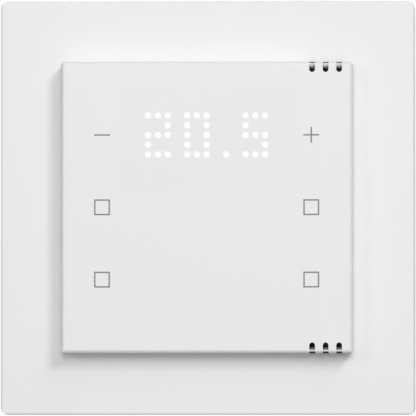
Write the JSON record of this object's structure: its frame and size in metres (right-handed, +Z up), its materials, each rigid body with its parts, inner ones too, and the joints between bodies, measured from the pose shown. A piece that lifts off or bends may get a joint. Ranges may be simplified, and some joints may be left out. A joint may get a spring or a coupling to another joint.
{
  "type": "wall thermostat",
  "caption": "Square flush-mounted room thermostat in a white surround frame: dot display, touch keys, corner air vents and a plug-in bus terminal.",
  "frame": {"origin": "on the wall surface, midway between the two wall box screws, which is the middle of the square", "axes": "+X to the right, +Z up, +Y into the wall, so the front faces -Y"},
  "size_m": [0.0808, 0.0336, 0.0808],
  "materials": {
    "white_gloss": "smooth satin-gloss moulded surface",
    "white_inner": "plain moulded surface",
    "grey_print": "flat printed ink",
    "zinc_steel": "zinc-plated sheet",
    "screw_steel": "bright zinc-plated",
    "spring_steel": "polished strip",
    "amber_foil": "translucent flexible film",
    "copper": "thin etched copper",
    "black_plastic": "fine matt moulded surface",
    "clear_guide": "milky clear moulding",
    "led_body": "white chips under a yellow phosphor drop",
    "board_green": "solder mask over copper",
    "chip_black": "fine matt resin",
    "aluminium_can": "drawn can",
    "ferrite": "ground ferrite",
    "enamel_copper": "enamelled wire",
    "crystal_can": "bright can",
    "capacitor_tan": "fired ceramic with tinned ends",
    "gold_pin": "gold-plated",
    "grey_plastic": "fine matt moulded surface",
    "red_plastic": "satin moulded surface",
    "dark_plastic": "satin moulded surface",
    "red_lens": "tinted clear moulding"
  },
  "bodies": {
    "wall_mount": {"mounting_frame": "zinc_steel", "box_screws": "screw_steel", "catch_springs": "spring_steel"},
    "surround": {"surround_frame": "white_gloss"},
    "module": {"front_cover": "white_gloss", "key_symbols": "grey_print", "touch_foil": "amber_foil", "touch_electrodes": "copper", "light_mask": "black_plastic", "light_guide": "clear_guide", "display_leds": "led_body", "display_board": "board_green", "display_driver": "chip_black", "touch_controller": "chip_black", "board_header": "black_plastic", "header_pins": "gold_pin", "spacer_frame": "white_inner", "main_board": "board_green", "microcontroller": "chip_black", "bus_transceiver": "chip_black", "storage_capacitor": "aluminium_can", "choke_core": "ferrite", "choke_winding": "enamel_copper", "crystal": "crystal_can", "small_capacitors": "capacitor_tan", "bus_pins": "gold_pin", "programming_switch": "grey_plastic", "contact_dome": "spring_steel", "programming_led": "led_body", "led_light_pipe": "red_lens", "sensor_board": "board_green", "temperature_sensor": "chip_black", "sensor_ribbon": "amber_foil", "sensor_baffle": "grey_plastic", "rear_cover": "white_inner", "housing_screws": "screw_steel"},
    "programming_key": {"programming_button": "white_inner"},
    "bus_terminal": {"terminal_plus": "red_plastic", "terminal_minus": "dark_plastic", "terminal_clamps": "gold_pin"}
  },
  "joints": [
    {"name": "module_pull", "type": "slide", "parent": "wall_mount", "child": "module", "axis": [0, -1, 0], "range_m": [0, 0.06], "deforming": ["catch_springs"]},
    {"name": "frame_lift", "type": "slide", "parent": "wall_mount", "child": "surround", "axis": [0, -1, 0], "range_m": [0, 0.021]},
    {"name": "programming_press", "type": "slide", "parent": "module", "child": "programming_key", "axis": [0, -1, 0], "range_m": [0, 0.0005], "stiffness_N_per_m": 3000, "springref_m": -0.0001, "deforming": ["contact_dome"]},
    {"name": "terminal_pull", "type": "slide", "parent": "module", "child": "bus_terminal", "axis": [0, 1, 0], "range_m": [0, 0.012]}
  ],
  "couplings": [
    {"joint": "frame_lift", "follows": "module_pull", "ratio": 0.35}
  ]
}
